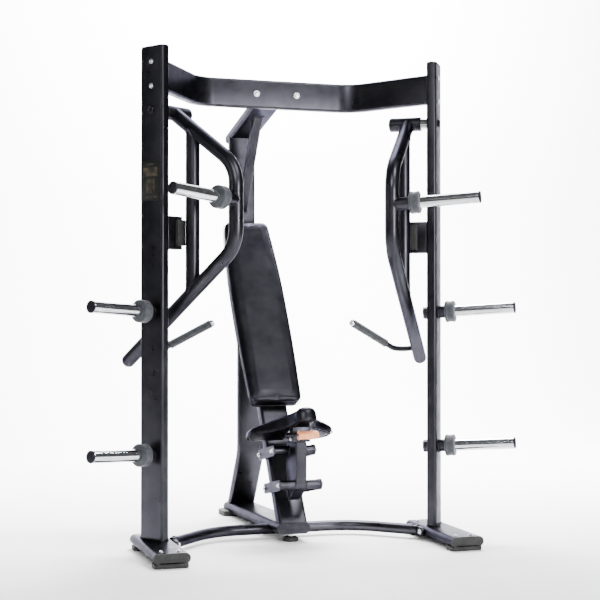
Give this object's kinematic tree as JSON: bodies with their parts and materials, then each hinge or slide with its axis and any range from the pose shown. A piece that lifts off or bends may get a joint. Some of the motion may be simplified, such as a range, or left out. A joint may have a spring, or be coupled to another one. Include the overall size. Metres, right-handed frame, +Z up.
{
  "type": "chest press machine",
  "caption": "Plate-loaded chest press machine with toed uprights, converging swing arms, a bowed crossbeam, a reclined back pad and a seat on parallel links.",
  "frame": {"origin": "middle of the footprint, on the floor", "axes": "+X to the right of someone facing the machine, +Y to its back, +Z up; the user sits facing -Y"},
  "size_m": [1.8286, 1.4182, 2.0453],
  "materials": {
    "frame_paint": "satin black powder coat with a fine orange-peel texture",
    "chrome": "polished chrome plate",
    "collar_rubber": "moulded blue-grey rubber, matt",
    "foot_rubber": "moulded black rubber, matt",
    "cap_plastic": "fine-textured black plastic",
    "upholstery": "fine-grained black imitation leather over foam",
    "backing_board": "plywood with a black covered back",
    "zinc": "bright zinc plate",
    "lever_rubber": "soft orange rubber, matt",
    "label": "blank printed film, satin"
  },
  "bodies": {
    "frame": {"back_board": "backing_board", "back_pad": "upholstery", "base_beam": "frame_paint", "base_beam_front_cap": "cap_plastic", "crossbeam": "frame_paint", "curved_base_tube": "frame_paint", "diagonal_brace": "frame_paint", "label_plate": "label", "left_foot": "frame_paint", "left_front_shoe": "foot_rubber", "left_lower_storage_collar": "collar_rubber", "left_lower_storage_sleeve": "chrome", "left_pivot_shaft": "zinc", "left_rear_shoe": "foot_rubber", "left_stop_bracket": "frame_paint", "left_stop_bumper": "foot_rubber", "left_upper_storage_collar": "collar_rubber", "left_upper_storage_sleeve": "chrome", "left_upright": "frame_paint", "left_upright_cap": "cap_plastic", "levelling_foot": "foot_rubber", "rear_post": "frame_paint", "rear_rubber_foot": "foot_rubber", "right_foot": "frame_paint", "right_front_shoe": "foot_rubber", "right_lower_storage_collar": "collar_rubber", "right_lower_storage_sleeve": "chrome", "right_pivot_shaft": "zinc", "right_rear_shoe": "foot_rubber", "right_stop_bracket": "frame_paint", "right_stop_bumper": "foot_rubber", "right_upper_storage_collar": "collar_rubber", "right_upper_storage_sleeve": "chrome", "right_upright": "frame_paint", "right_upright_cap": "cap_plastic", "slanted_support": "frame_paint", "top_tube": "frame_paint", "top_tube_cap": "cap_plastic"},
    "left_arm": {"left_arm_bow": "frame_paint", "left_arm_chord": "frame_paint", "left_housing_cap": "cap_plastic", "left_handle": "frame_paint", "left_grip": "collar_rubber", "left_arm_horn_collar": "collar_rubber", "left_arm_horn_sleeve": "chrome"},
    "right_arm": {"right_arm_bow": "frame_paint", "right_arm_chord": "frame_paint", "right_housing_cap": "cap_plastic", "right_handle": "frame_paint", "right_grip": "collar_rubber", "right_arm_horn_collar": "collar_rubber", "right_arm_horn_sleeve": "chrome"},
    "upper_link": {"upper_link": "frame_paint"},
    "lower_link": {"lower_link": "frame_paint"},
    "seat_carriage": {"seat_post": "frame_paint", "seat_bracket": "frame_paint", "seat_pad": "upholstery"},
    "release_lever": {"release_lever": "zinc", "lever_grip": "lever_rubber"}
  },
  "joints": [
    {"name": "left_arm_swing", "type": "hinge", "parent": "frame", "child": "left_arm", "pos_m": [-0.51874, -0.2065, 1.787], "axis": [-0.829, -0.5592, 0], "range_deg": [0, 32]},
    {"name": "right_arm_swing", "type": "hinge", "parent": "frame", "child": "right_arm", "pos_m": [0.51874, -0.2065, 1.787], "axis": [-0.829, 0.5592, 0], "range_deg": [0, 32]},
    {"name": "seat_lift", "type": "hinge", "parent": "frame", "child": "upper_link", "pos_m": [0, 0.00691, 0.35169], "axis": [-1, 0, 0], "range_deg": [-12, 20]},
    {"name": "lower_link_swing", "type": "hinge", "parent": "frame", "child": "lower_link", "pos_m": [0, -0.07787, 0.216], "axis": [-1, 0, 0], "range_deg": [-12, 20]},
    {"name": "seat_level", "type": "hinge", "parent": "upper_link", "child": "seat_carriage", "pos_m": [0, -0.19709, 0.38969], "axis": [-1, 0, 0], "range_deg": [-20, 12]},
    {"name": "lever_pull", "type": "hinge", "parent": "seat_carriage", "child": "release_lever", "pos_m": [-0.048, -0.25887, 0.458], "axis": [-1, 0, 0], "range_deg": [0, 12], "stiffness_Nm_per_rad": 3, "springref_deg": -8.59}
  ],
  "couplings": [
    {"joint": "lower_link_swing", "follows": "seat_lift", "ratio": 1},
    {"joint": "seat_level", "follows": "seat_lift", "ratio": -1}
  ]
}
